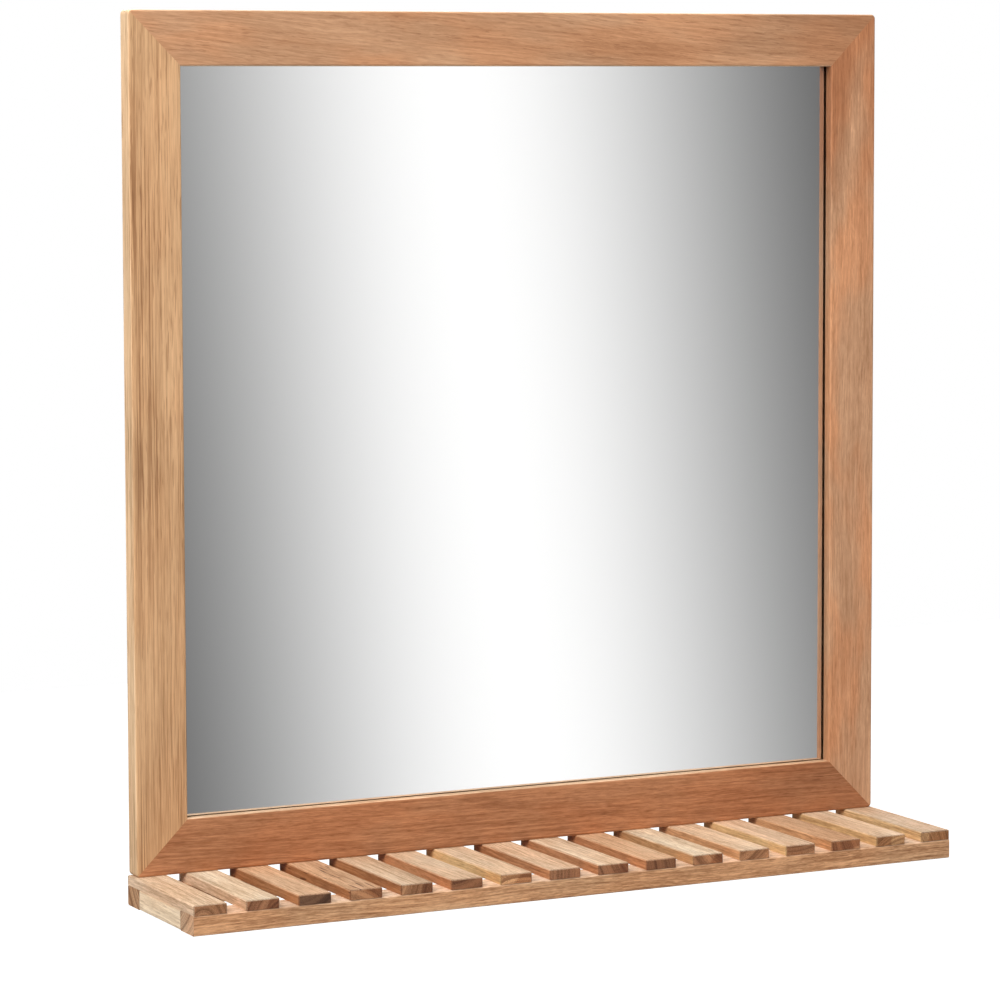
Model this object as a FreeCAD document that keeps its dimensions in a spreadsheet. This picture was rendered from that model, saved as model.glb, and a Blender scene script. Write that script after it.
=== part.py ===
import FreeCAD, Part
import math
import os
import Sketcher

# A bathroom mirror: a mitred wooden frame that stands on a slatted wooden shelf.
# X runs to the right, Y into the wall and Z up. The origin lies in the wall plane,
# midway between the entry holes of the two hanger plates.

# Driving dimensions in millimetres. A name that ends in share is a share of another size.
SIZES = {
    "overall_width": 600,
    "overall_depth": 120,
    "overall_height": 620,
    # The shelf: two rails, two end rails between them, and slats across the top.
    "slat_count": 16,
    "slat_width": 24.4,
    "slat_thickness": 7,
    "slat_bevel": 0.7,
    "rail_height": 14,
    "front_rail_depth": 24,
    "rear_rail_depth": 21.5,
    "rail_bevel": 0.9,
    # The frame: four members of one section, with a rabbet at the rear.
    "frame_inset": 1.2,
    "member_width": 38.5,
    "lip_depth": 7,
    "frame_ease": 1.6,
    "corner_radius": 3.2,
    "glass_thickness": 3,
    "glass_lap": 8,
    "glass_gap": 1,
    "board_thickness": 2.5,
    "board_gap": 0.75,
    "board_recess": 1.2,
    # Joints: a loose spline across each mitre, and a tenon at each end of the end rails.
    "spline_thickness": 3,
    "spline_width": 14,
    "tenon_width": 14,
    "tenon_height": 7,
    "tenon_length": 6,
    # Keyhole plates, let into the rear of the stiles over a cavity for the screw's head.
    "hanger_width": 16,
    "hanger_length": 54,
    "hanger_thickness": 2,
    "hanger_corner": 3,
    "hanger_drop": 96,
    "entry_diameter": 10,
    "slot_width": 5,
    "slot_rise": 11,
    "cavity_width": 12,
    "cavity_depth": 5,
    "hanger_screw_spacing": 42,
    # Fasteners. The brads and the board's points are flat.
    "hanger_screw_diameter": 3,
    "hanger_screw_head": 5.8,
    "hanger_screw_length": 8.5,
    "shelf_screw_diameter": 4,
    "shelf_screw_head": 8,
    "shelf_screw_length": 42,
    "screw_point": 2,
    "brad_width": 1.3,
    "brad_thickness": 1.1,
    "brad_length": 18,
    "brad_tip": 1.2,
    "point_width": 10,
    "point_length": 14,
    "point_tip": 3,
    "point_bite": 6,
    "point_thickness": 0.6,
    # Fits.
    "fit_gap": 0.05,
    "end_gap": 0.6,
    "plate_gap": 0.25,
    "backing_gap": 0.3,
}

# Where the fasteners sit, as shares of the size that they follow.
SPLINE_SHARES = (0.25, 0.7)
POINT_SHARES = (-0.28, 0, 0.28)
SHELF_SCREW_SHARES = (0.07, 0.34, 0.66, 0.93)

# Sizes that follow from the driving ones, as expressions over the sheet.
SHELF_HEIGHT = "(sizes.rail_height + sizes.slat_thickness)"
SHELF_BASE = "(sizes.hanger_drop - sizes.overall_height)"
SLAT_BASE = f"({SHELF_BASE} + sizes.rail_height)"
SHELF_TOP = f"({SHELF_BASE} + {SHELF_HEIGHT})"
SLAT_PITCH = "((sizes.overall_width - sizes.slat_width) / (sizes.slat_count - 1))"
END_RAIL_LENGTH = "(sizes.overall_depth - sizes.front_rail_depth - sizes.rear_rail_depth)"
END_RAIL_X = "((sizes.overall_width - sizes.slat_width) / 2)"
FRONT_RAIL_Y = "(sizes.front_rail_depth / 2 - sizes.overall_depth)"
REAR_RAIL_Y = "(-sizes.rear_rail_depth / 2)"
MORTISE_DEPTH = "(sizes.tenon_length + sizes.end_gap)"
FRAME_WIDTH = "(sizes.overall_width - 2 * sizes.frame_inset)"
FRAME_HEIGHT = f"(sizes.overall_height - {SHELF_HEIGHT})"
GLASS_REAR = "(sizes.board_recess + sizes.board_thickness + sizes.backing_gap)"
RABBET_DEPTH = f"({GLASS_REAR} + sizes.glass_thickness)"
FRAME_DEPTH = f"(sizes.lip_depth + {RABBET_DEPTH})"
FRAME_MIDDLE = f"(sizes.hanger_drop - {FRAME_HEIGHT} / 2)"
OPENING_WIDTH = f"({FRAME_WIDTH} - 2 * sizes.member_width)"
OPENING_HEIGHT = f"({FRAME_HEIGHT} - 2 * sizes.member_width)"
REAR_STRIP = "(sizes.member_width - sizes.glass_lap)"
HANGER_X = f"({FRAME_WIDTH} / 2 - {REAR_STRIP} / 2)"
SPLINE_DEPTH = "(sizes.lip_depth / 2 + sizes.frame_ease / 2)"
SHELF_SCREW_Y = f"(-{FRAME_DEPTH} / 2)"
# The brads stand clear of the mortises, and at the rear also of the long screws' heads.
FRONT_BRAD_Y = f"((sizes.front_rail_depth - {MORTISE_DEPTH}) / 2 - sizes.overall_depth)"
REAR_BRAD_Y = (
    f"(({SHELF_SCREW_Y} - sizes.shelf_screw_head / 2 - sizes.rear_rail_depth + {MORTISE_DEPTH}) / 2)"
)

FULL_TURN = 360
QUARTER_TURN = 90
MITRE_ANGLE = 45
COUNTERSINK_ANGLE = 90
TOLERANCE = 1e-6
START_INDEX, END_INDEX, CENTRE_INDEX = 1, 2, 3
ORIGIN_INDICES = (-1, 1)
HORIZONTAL_AXIS_INDEX, VERTICAL_AXIS_INDEX = -1, -2
X_AXIS = FreeCAD.Vector(1, 0, 0)
Y_AXIS = FreeCAD.Vector(0, 1, 0)
Z_AXIS = FreeCAD.Vector(0, 0, 1)


def make_sheet(document):
    """The sheet of driving dimensions, one named cell for each."""
    sheet = document.addObject("Spreadsheet::Sheet", "sizes")
    for row, (name, size) in enumerate(SIZES.items(), start=1):
        sheet.set(f"A{row}", name)
        sheet.set(f"B{row}", str(size))
        sheet.setAlias(f"B{row}", name)
    document.recompute()


def value(item, expression):
    """The number that an expression over the sheet gives now."""
    return float(item.Document.getObject("sizes").evalExpression(expression))


def place(item, x="0", y="0", z="0", rotation=None):
    """Turns an object about its own origin and binds its place to the sheet."""
    item.Placement = FreeCAD.Placement(FreeCAD.Vector(), rotation or FreeCAD.Rotation())
    for name, expression in (("x", x), ("y", y), ("z", z)):
        item.setExpression(f"Placement.Base.{name}", expression)


# Sketches

def bind(sketch, point, kind, expression):
    """Ties one coordinate of a sketch point to an expression."""
    if expression == "0":
        axis = VERTICAL_AXIS_INDEX if kind == "DistanceX" else HORIZONTAL_AXIS_INDEX
        sketch.addConstraint(Sketcher.Constraint("PointOnObject", *point, axis))
        return
    size = value(sketch, expression)
    ends = (*ORIGIN_INDICES, *point) if size > 0 else (*point, *ORIGIN_INDICES)
    index = sketch.addConstraint(Sketcher.Constraint(kind, *ends, abs(size)))
    name = f"{kind}_{point[0]}_{point[1]}"
    sketch.renameConstraint(index, name)
    sketch.setExpression(f"Constraints.{name}", expression if size > 0 else f"-({expression})")


def sketch_point(sketch, x, y):
    return FreeCAD.Vector(value(sketch, x), value(sketch, y), 0)


def add_outline(sketch, corners):
    """A closed outline, anticlockwise. Each corner is (x, y), and an arc that starts there
    adds its centre: (x, y, centre x, centre y)."""
    points = [sketch_point(sketch, *corner[:2]) for corner in corners]
    edges = []
    for corner, start, end in zip(corners, points, points[1:] + points[:1]):
        geometry = Part.LineSegment(start, end)
        if len(corner) > 2:
            centre = sketch_point(sketch, *corner[2:])
            circle = Part.Circle(centre, Z_AXIS, (start - centre).Length)
            angles = [math.atan2(p.y - centre.y, p.x - centre.x) for p in (start, end)]
            geometry = Part.ArcOfCircle(circle, *angles)
        edges.append(sketch.addGeometry(geometry, False))
    for edge, following in zip(edges, edges[1:] + edges[:1]):
        sketch.addConstraint(Sketcher.Constraint("Coincident", edge, END_INDEX, following, START_INDEX))
    for number, (edge, corner) in enumerate(zip(edges, corners)):
        bind(sketch, (edge, START_INDEX), "DistanceX", corner[0])
        bind(sketch, (edge, START_INDEX), "DistanceY", corner[1])
        if len(corner) > 2:
            chord = points[(number + 1) % len(points)] - points[number]
            flat = abs(chord.x) > abs(chord.y)
            kind, expression = ("DistanceY", corner[3]) if flat else ("DistanceX", corner[2])
            bind(sketch, (edge, CENTRE_INDEX), kind, expression)


def add_circles(sketch, centres, diameter):
    """Circles of one size at a list of (x, y) places."""
    radius = value(sketch, diameter) / 2
    for x, y in centres:
        circle = Part.Circle(sketch_point(sketch, x, y), Z_AXIS, radius)
        index = sketch.addGeometry(circle, False)
        bind(sketch, (index, CENTRE_INDEX), "DistanceX", x)
        bind(sketch, (index, CENTRE_INDEX), "DistanceY", y)
        size = sketch.addConstraint(Sketcher.Constraint("Diameter", index, radius * 2))
        sketch.renameConstraint(size, f"Diameter_{index}")
        sketch.setExpression(f"Constraints.Diameter_{index}", diameter)


def rectangle(left, right, low, high):
    return [(left, low), (right, low), (right, high), (left, high)]


def around(x, y, width, height):
    """A rectangle about a middle point."""
    return rectangle(f"{x} - {width} / 2", f"{x} + {width} / 2",
                     f"{y} - {height} / 2", f"{y} + {height} / 2")


def pointed(width, length, tip):
    """The outline of a flat nail, from its head at y = 0 to its tip."""
    half = f"({width} / 2)"
    shoulder = f"({length} - {tip})"
    return [(f"-{half}", "0"), (half, "0"), (half, shoulder), ("0", length), (f"-{half}", shoulder)]


def rounded(left, right, low, high, radius):
    """A rectangle with round corners."""
    inner_left, inner_right = f"{left} + {radius}", f"{right} - {radius}"
    inner_low, inner_high = f"{low} + {radius}", f"{high} - {radius}"
    return [
        (inner_left, low),
        (inner_right, low, inner_right, inner_low),
        (right, inner_low),
        (right, inner_high, inner_right, inner_high),
        (inner_right, high),
        (inner_left, high, inner_left, inner_high),
        (left, inner_high),
        (left, inner_low, inner_left, inner_low),
    ]


def own_plane(body, role):
    return next(item for item in body.Origin.OriginFeatures if item.Role == role)


def new_sketch(body, plane, name, x="0", z="0", angle=0):
    """A sketch on one of the body's own planes, moved along that plane's x and its normal,
    and turned about that plane's y."""
    sketch = body.newObject("Sketcher::SketchObject", name)
    sketch.AttachmentSupport = [(own_plane(body, plane), "")]
    sketch.MapMode = "FlatFace"
    turn = FreeCAD.Rotation(Y_AXIS, angle)
    sketch.AttachmentOffset = FreeCAD.Placement(FreeCAD.Vector(), turn)
    sketch.setExpression("AttachmentOffset.Base.x", x)
    sketch.setExpression("AttachmentOffset.Base.z", z)
    return sketch


# Features

def new_body(document, label):
    body = document.addObject("PartDesign::Body", label)
    body.Label = label
    return body


def pad(body, sketch, length):
    feature = body.newObject("PartDesign::Pad", "pad")
    feature.Profile = sketch
    feature.setExpression("Length", length)
    sketch.Visibility = False
    return feature


def pocket(body, sketch, depth=None, along_normal=False):
    """A pocket to a depth, or through everything. It runs against the sketch's normal unless
    along_normal is set, and it has to take material away."""
    body.Document.recompute()
    before = body.Shape.Volume
    feature = body.newObject("PartDesign::Pocket", "pocket")
    feature.Profile = sketch
    feature.Reversed = along_normal
    if depth is None:
        feature.Type = "ThroughAll"
    else:
        feature.setExpression("Length", depth)
    body.Document.recompute()
    if body.Shape.Volume > before - TOLERANCE:
        raise RuntimeError(f"{body.Label}: {feature.Name} cuts nothing")
    return feature


def countersunk_hole(body, sketch, screw):
    """Through holes along the sketch's normal for a countersunk screw, whose sizes share a
    name in the sheet."""
    body.Document.recompute()
    before = body.Shape.Volume
    feature = body.newObject("PartDesign::Hole", "hole")
    feature.Profile = sketch
    body.Document.recompute()
    feature.ThreadType = "None"
    feature.DepthType = "ThroughAll"
    feature.HoleCutType = "Countersink"
    feature.HoleCutCustomValues = True
    feature.HoleCutCountersinkAngle = COUNTERSINK_ANGLE
    feature.Reversed = True
    feature.setExpression("Diameter", f"sizes.{screw}_diameter + 2 * sizes.fit_gap")
    feature.setExpression("HoleCutDiameter", f"sizes.{screw}_head + 2 * sizes.fit_gap")
    body.Document.recompute()
    if body.Shape.Volume > before - TOLERANCE:
        raise RuntimeError(f"{body.Label}: {feature.Name} cuts nothing")
    return feature


def dress_edges(body, kind, name, wanted):
    """A feature of a kind on the edges for which wanted(edge) is true."""
    body.Document.recompute()
    base = body.Tip
    names = [f"Edge{n}" for n, edge in enumerate(base.Shape.Edges, start=1) if wanted(edge)]
    feature = body.newObject(kind, name)
    feature.Base = (base, names)
    return feature


def ease(body, radius, wanted):
    """Rounds some edges."""
    feature = dress_edges(body, "PartDesign::Fillet", "ease", wanted)
    feature.setExpression("Radius", radius)


def bevel(body, size, wanted):
    """Cuts some edges off at 45 degrees."""
    feature = dress_edges(body, "PartDesign::Chamfer", "bevel", wanted)
    feature.setExpression("Size", size)


def mirror(body, original, plane):
    """Repeats a feature on the other side of one of the body's own planes."""
    feature = body.newObject("PartDesign::Mirrored", "mirrored")
    feature.Originals = [original]
    feature.MirrorPlane = (own_plane(body, plane), [""])
    body.Tip = feature
    return feature


def lies_at(edge, axis, position):
    """True if the whole edge lies at one position along an axis."""
    ends = [vertex.Point for vertex in edge.Vertexes]
    return all(abs(point.dot(axis) - position) < TOLERANCE for point in ends)


def runs_along(edge, axis):
    """True if the edge is parallel to an axis."""
    span = edge.Vertexes[-1].Point - edge.Vertexes[0].Point
    return abs(span.dot(axis)) > span.Length - TOLERANCE


# Groups of separate, equal solids made from one sketch

def grouped(document, label, kind, corners, places, set_up):
    """Copies of one sketch's solid. Each place is (x, y, z, rotation)."""
    sketch = document.addObject("Sketcher::SketchObject", f"{label}_profile")
    add_outline(sketch, corners)
    copies = []
    for x, y, z, rotation in places:
        copy = document.addObject(kind, f"{label}_copy")
        copy.Solid = True
        set_up(copy, sketch)
        place(copy, x, y, z, rotation)
        copies.append(copy)
    group = document.addObject("Part::Compound", label)
    group.Label = label
    group.Links = copies
    return group


def extruded_group(document, label, corners, length, places, symmetric=False):
    """Copies of an outline drawn out along its own Z."""
    def set_up(copy, sketch):
        copy.Base = sketch
        copy.DirMode = "Normal"
        copy.Symmetric = symmetric
        copy.setExpression("LengthFwd", length)

    return grouped(document, label, "Part::Extrusion", corners, places, set_up)


def screw_group(document, label, name, places):
    """Countersunk screws, turned about Y. The head is at y = 0 and the point below it."""
    radius = f"(sizes.{name}_diameter / 2)"
    head = f"(sizes.{name}_head / 2)"
    tip = f"-sizes.{name}_length"
    profile = [
        ("0", tip),
        (radius, f"{tip} + sizes.screw_point"),
        (radius, f"{radius} - {head}"),
        (head, "0"),
        ("0", "0"),
    ]

    def set_up(copy, sketch):
        copy.Source = sketch
        copy.Axis = Y_AXIS
        copy.Angle = FULL_TURN

    return grouped(document, label, "Part::Revolution", profile, places, set_up)


# The frame

def frame_member(document, label, length, turns, x, z):
    """One member of the frame, turned by quarter turns from the top rail's place. Its own X
    runs along it, Y from the outer edge inwards and Z from the front face to the rear.
    Both ends are mitred."""
    body = new_body(document, label)
    half = f"({length} / 2)"
    radius = "sizes.corner_radius"
    tip = f"({radius} * (1 - cos({MITRE_ANGLE})))"
    inner = f"({half} - sizes.member_width)"
    sketch = new_sketch(body, "XY_Plane", "outline")
    add_outline(sketch, [
        (f"{radius} - {half}", "0"),
        (f"{half} - {radius}", "0", f"{half} - {radius}", radius),
        (f"{half} - {tip}", tip),
        (inner, "sizes.member_width"),
        (f"-{inner}", "sizes.member_width"),
        (f"{tip} - {half}", tip, f"{radius} - {half}", radius),
    ])
    pad(body, sketch, FRAME_DEPTH)
    rabbet = new_sketch(body, "XY_Plane", "rabbet", z=FRAME_DEPTH)
    add_outline(rabbet, rectangle(f"-{half}", half, REAR_STRIP, "sizes.member_width"))
    pocket(body, rabbet, RABBET_DEPTH)
    ease(body, "sizes.frame_ease", is_front_edge)
    spline_slots(body, half)
    point_slots(body, length)
    upright = FreeCAD.Rotation(X_AXIS, -QUARTER_TURN)
    rotation = FreeCAD.Rotation(Y_AXIS, turns * QUARTER_TURN).multiply(upright)
    place(body, x, f"-{FRAME_DEPTH}", z, rotation)
    return body


def is_front_edge(edge):
    """True for the outer and inner edges of a member's front face, but not its mitred ends."""
    is_arc = isinstance(edge.Curve, Part.Circle)
    return lies_at(edge, Z_AXIS, 0) and (is_arc or runs_along(edge, X_AXIS))


def along_mitre(share):
    """Expression for a distance down the mitre from its outer end."""
    return f"({share} * sizes.member_width / cos({MITRE_ANGLE}))"


def spline_slots(body, half):
    """A slot for half a spline in each mitre."""
    angle = 2 * QUARTER_TURN - MITRE_ANGLE
    sketch = new_sketch(body, "XZ_Plane", "spline_slot", x=half, angle=angle)
    reach = "(sizes.spline_thickness / 2 + sizes.fit_gap)"
    outer, inner = (along_mitre(share) for share in SPLINE_SHARES)
    add_outline(sketch, rectangle(
        f"{outer} - sizes.end_gap", f"{inner} + sizes.end_gap",
        f"{SPLINE_DEPTH} - {reach}", f"{SPLINE_DEPTH} + {reach}",
    ))
    slot = pocket(body, sketch, "sizes.spline_width / 2 + sizes.end_gap")
    mirror(body, slot, "YZ_Plane")


def share_of(share, length):
    """Expression for a share of a length."""
    return f"({share} * {length})"


def point_slots(body, length):
    """Slots in the wall of the rabbet for the flat points that hold the back board."""
    sketch = new_sketch(body, "XZ_Plane", "point_slots", z=f"-{REAR_STRIP}")
    depth = f"({FRAME_DEPTH} - sizes.board_recess + sizes.point_thickness / 2)"
    width = "(sizes.point_width + 2 * sizes.fit_gap)"
    height = "(sizes.point_thickness + 2 * sizes.fit_gap)"
    for share in POINT_SHARES:
        add_outline(sketch, around(share_of(share, length), depth, width, height))
    pocket(body, sketch, "sizes.point_bite + sizes.end_gap", along_normal=True)


def hanger_seat(body, up):
    """Recess for a keyhole plate in the rear of a stile, the cavity behind its keyhole and
    the pilots of its screws. up is the sign of the stile's own X where that points up."""
    middle = f"({up} * ({FRAME_HEIGHT} / 2 - sizes.hanger_drop + sizes.slot_rise / 2))"
    across = f"({REAR_STRIP} / 2)"
    half_length = "(sizes.hanger_length / 2 + sizes.plate_gap)"
    half_width = "(sizes.hanger_width / 2 + sizes.plate_gap)"
    recess = new_sketch(body, "XY_Plane", "hanger_recess", z=FRAME_DEPTH)
    add_outline(recess, rounded(
        f"({middle} - {half_length})", f"({middle} + {half_length})",
        f"({across} - {half_width})", f"({across} + {half_width})", "sizes.hanger_corner",
    ))
    pocket(body, recess, "sizes.hanger_thickness")
    cavity = new_sketch(body, "XY_Plane", "hanger_cavity", z=FRAME_DEPTH)
    cavity_length = "(sizes.slot_rise + sizes.cavity_width)"
    add_outline(cavity, around(middle, across, cavity_length, "sizes.cavity_width"))
    pocket(body, cavity, "sizes.hanger_thickness + sizes.cavity_depth")
    pilots = new_sketch(body, "XY_Plane", "hanger_pilots", z=FRAME_DEPTH)
    centres = [
        (f"{middle} {sign} sizes.hanger_screw_spacing / 2", across)
        for sign in ("-", "+")
    ]
    add_circles(pilots, centres, "sizes.hanger_screw_diameter + 2 * sizes.fit_gap")
    pocket(body, pilots, "sizes.hanger_screw_length + sizes.end_gap")


def shelf_screw_pilots(body):
    """Blind holes in the outer edge of the bottom rail for the screws from the shelf."""
    sketch = new_sketch(body, "XZ_Plane", "shelf_pilots")
    centres = [
        (f"-({slat_x(number)})", f"{FRAME_DEPTH} / 2")
        for number in screwed_slats(body)
    ]
    add_circles(sketch, centres, "sizes.shelf_screw_diameter + 2 * sizes.fit_gap")
    pocket(body, sketch, f"sizes.shelf_screw_length - {SHELF_HEIGHT} + sizes.end_gap")


def make_frame(document):
    """The four mitred members."""
    half_width = f"({FRAME_WIDTH} / 2)"
    top_rail = frame_member(document, "top_rail", FRAME_WIDTH, 0, "0", "sizes.hanger_drop")
    right = frame_member(document, "right_stile", FRAME_HEIGHT, 1, half_width, FRAME_MIDDLE)
    bottom_rail = frame_member(document, "bottom_rail", FRAME_WIDTH, 2, "0", SHELF_TOP)
    left = frame_member(document, "left_stile", FRAME_HEIGHT, -1, f"-{half_width}", FRAME_MIDDLE)
    hanger_seat(left, 1)
    hanger_seat(right, -1)
    shelf_screw_pilots(bottom_rail)
    return [left, right, top_rail, bottom_rail]


def make_corner_splines(document):
    """A spline across each mitre, half in each member."""
    middle_share = sum(SPLINE_SHARES) / 2
    inset = f"({middle_share} * sizes.member_width)"
    length = f"({along_mitre(SPLINE_SHARES[1])} - {along_mitre(SPLINE_SHARES[0])})"
    places = []
    for side in (-1, 1):
        for level in (-1, 1):
            x = f"{side} * ({FRAME_WIDTH} / 2 - {inset})"
            z = f"{FRAME_MIDDLE} + {level} * ({FRAME_HEIGHT} / 2 - {inset})"
            rotation = FreeCAD.Rotation(Y_AXIS, -side * level * MITRE_ANGLE)
            places.append((x, f"{SPLINE_DEPTH} - {FRAME_DEPTH}", z, rotation))
    outline = around("0", "0", length, "sizes.spline_thickness")
    return extruded_group(document, "corner_splines", outline, "sizes.spline_width", places, True)


def make_sheet_piece(document, label, lap, thickness, y):
    """A flat rectangular sheet that laps behind the frame's lip."""
    body = new_body(document, label)
    sketch = new_sketch(body, "XZ_Plane", "outline")
    width, height = f"({OPENING_WIDTH} + 2 * {lap})", f"({OPENING_HEIGHT} + 2 * {lap})"
    add_outline(sketch, around("0", "0", width, height))
    pad(body, sketch, thickness)
    place(body, y=y, z=FRAME_MIDDLE)
    return body


def make_glass(document):
    """The silvered glass, against the back of the frame's lip."""
    lap = "(sizes.glass_lap - sizes.glass_gap)"
    return make_sheet_piece(document, "mirror_glass", lap, "sizes.glass_thickness", f"-{GLASS_REAR}")


def make_back_board(document):
    """The hardboard behind the glass, clear of its painted rear face."""
    lap = "(sizes.glass_lap - sizes.board_gap)"
    y = "-sizes.board_recess"
    return make_sheet_piece(document, "back_board", lap, "sizes.board_thickness", y)


def make_points(document):
    """Flat steel points on the board's rear face, with their tips in the frame."""
    inset = f"({REAR_STRIP} - sizes.point_bite + sizes.point_length)"
    side_x = f"({FRAME_WIDTH} / 2 - {inset})"
    level_z = f"({FRAME_HEIGHT} / 2 - {inset})"
    y = "sizes.point_thickness - sizes.board_recess"
    upright = FreeCAD.Rotation(X_AXIS, QUARTER_TURN)
    outward = [
        FreeCAD.Rotation(Y_AXIS, turns * QUARTER_TURN).multiply(upright) for turns in range(4)
    ]
    places = []
    for share in POINT_SHARES:
        x = share_of(share, FRAME_WIDTH)
        z = f"{FRAME_MIDDLE} + {share_of(share, FRAME_HEIGHT)}"
        places += [
            (x, y, f"{FRAME_MIDDLE} + {level_z}", outward[0]),
            (side_x, y, z, outward[1]),
            (x, y, f"{FRAME_MIDDLE} - {level_z}", outward[2]),
            (f"-{side_x}", y, z, outward[3]),
        ]
    outline = pointed("sizes.point_width", "sizes.point_length", "sizes.point_tip")
    return extruded_group(document, "glazing_points", outline, "sizes.point_thickness", places)


# The keyhole plates

def hanger_screw_heights():
    """Expressions for the plate's screws, above the middle of its entry hole."""
    middle = "sizes.slot_rise / 2"
    return [f"({middle} {sign} sizes.hanger_screw_spacing / 2)" for sign in ("-", "+")]


def make_hanger(document, label, x):
    """A keyhole plate. Its own origin is the middle of the entry hole, in the wall plane."""
    body = new_body(document, label)
    half_width = "(sizes.hanger_width / 2)"
    low = "(sizes.slot_rise / 2 - sizes.hanger_length / 2)"
    high = "(sizes.slot_rise / 2 + sizes.hanger_length / 2)"
    sketch = new_sketch(body, "XZ_Plane", "outline")
    add_outline(sketch, rounded(f"-{half_width}", half_width, low, high, "sizes.hanger_corner"))
    pad(body, sketch, "sizes.hanger_thickness")
    entry = new_sketch(body, "XZ_Plane", "entry")
    add_circles(entry, [("0", "0")], "sizes.entry_diameter")
    pocket(body, entry, along_normal=True)
    slot = new_sketch(body, "XZ_Plane", "slot")
    half_slot = "(sizes.slot_width / 2)"
    add_outline(slot, [
        (f"-{half_slot}", "0"),
        (half_slot, "0"),
        (half_slot, "sizes.slot_rise", "0", "sizes.slot_rise"),
        (f"-{half_slot}", "sizes.slot_rise"),
    ])
    pocket(body, slot, along_normal=True)
    holes = new_sketch(body, "XZ_Plane", "screw_holes")
    centres = [("0", height) for height in hanger_screw_heights()]
    add_circles(holes, centres, "sizes.hanger_screw_diameter")
    countersunk_hole(body, holes, "hanger_screw")
    place(body, x)
    return body


def make_hangers(document):
    """Both keyhole plates and their screws."""
    left = make_hanger(document, "left_hanger", f"-{HANGER_X}")
    right = make_hanger(document, "right_hanger", HANGER_X)
    places = [
        (f"{side} * {HANGER_X}", "0", height, None)
        for side in (-1, 1)
        for height in hanger_screw_heights()
    ]
    return [left, right, screw_group(document, "hanger_screws", "hanger_screw", places)]


# The shelf

def slat_x(number):
    """Expression for the middle of a slat, counted from zero at the left."""
    return f"({number} * {SLAT_PITCH} - {END_RAIL_X})"


def slat_numbers(item):
    return range(round(value(item, "sizes.slat_count")))


def screwed_slats(item):
    """The slats that the shelf's long screws pass through."""
    last = len(slat_numbers(item)) - 1
    return [round(share * last) for share in SHELF_SCREW_SHARES]


def block(document, label, width, depth, height, y="0"):
    """A piece with a rectangular outline seen from above, about the middle of its underside
    or beside it."""
    body = new_body(document, label)
    sketch = new_sketch(body, "XY_Plane", "outline")
    add_outline(sketch, around("0", y, width, depth))
    pad(body, sketch, height)
    return body


def brad_holes(body, places, depth=None):
    """Holes upwards from the underside for brads at a list of (x, y) places."""
    sketch = new_sketch(body, "XY_Plane", "brad_holes")
    width = "(sizes.brad_width + 2 * sizes.fit_gap)"
    thickness = "(sizes.brad_thickness + 2 * sizes.fit_gap)"
    for x, y in places:
        add_outline(sketch, around(x, y, width, thickness))
    pocket(body, sketch, depth, along_normal=True)


def long_rail(document, label, depth, y, brad_y, inner_side):
    """A rail along the front or rear of the shelf. inner_side is the sign of the side, along
    Y, where the end rails' tenons enter it."""
    body = block(document, label, "sizes.overall_width", depth, "sizes.rail_height")
    bevel(body, "sizes.rail_bevel", lambda edge: runs_along(edge, X_AXIS))
    brad_holes(body, [(slat_x(number), f"({brad_y} - {y})") for number in slat_numbers(body)])
    mortises = new_sketch(body, "XZ_Plane", "mortises", z=f"{-inner_side} * {depth} / 2")
    width = "(sizes.tenon_width + 2 * sizes.fit_gap)"
    height = "(sizes.tenon_height + 2 * sizes.fit_gap)"
    for side in (-1, 1):
        outline = around(f"{side} * {END_RAIL_X}", "sizes.rail_height / 2", width, height)
        add_outline(mortises, outline)
    pocket(body, mortises, MORTISE_DEPTH, along_normal=inner_side > 0)
    place(body, y=y, z=SHELF_BASE)
    return body


def make_rear_rail(document):
    """The rear rail, which also takes the long screws into the frame."""
    depth = "sizes.rear_rail_depth"
    body = long_rail(document, "shelf_rear_rail", depth, REAR_RAIL_Y, REAR_BRAD_Y, -1)
    screws = new_sketch(body, "XY_Plane", "screw_holes")
    y = f"({SHELF_SCREW_Y} - {REAR_RAIL_Y})"
    centres = [(slat_x(number), y) for number in screwed_slats(body)]
    add_circles(screws, centres, "sizes.shelf_screw_diameter")
    countersunk_hole(body, screws, "shelf_screw")
    return body


def make_end_rail(document, label, side):
    """A rail between the front and rear rails, under the first or last slat, with a tenon at
    each end."""
    body = block(document, label, "sizes.slat_width", END_RAIL_LENGTH, "sizes.rail_height")
    bevel(body, "sizes.rail_bevel", lambda edge: runs_along(edge, Y_AXIS))
    sketch = new_sketch(body, "XZ_Plane", "tenon", z=f"{END_RAIL_LENGTH} / 2")
    middle = "sizes.rail_height / 2"
    add_outline(sketch, around("0", middle, "sizes.tenon_width", "sizes.tenon_height"))
    mirror(body, pad(body, sketch, "sizes.tenon_length"), "XZ_Plane")
    y = f"-(sizes.rear_rail_depth + {END_RAIL_LENGTH} / 2)"
    place(body, f"{side} * {END_RAIL_X}", y, SHELF_BASE)
    return body


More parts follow.
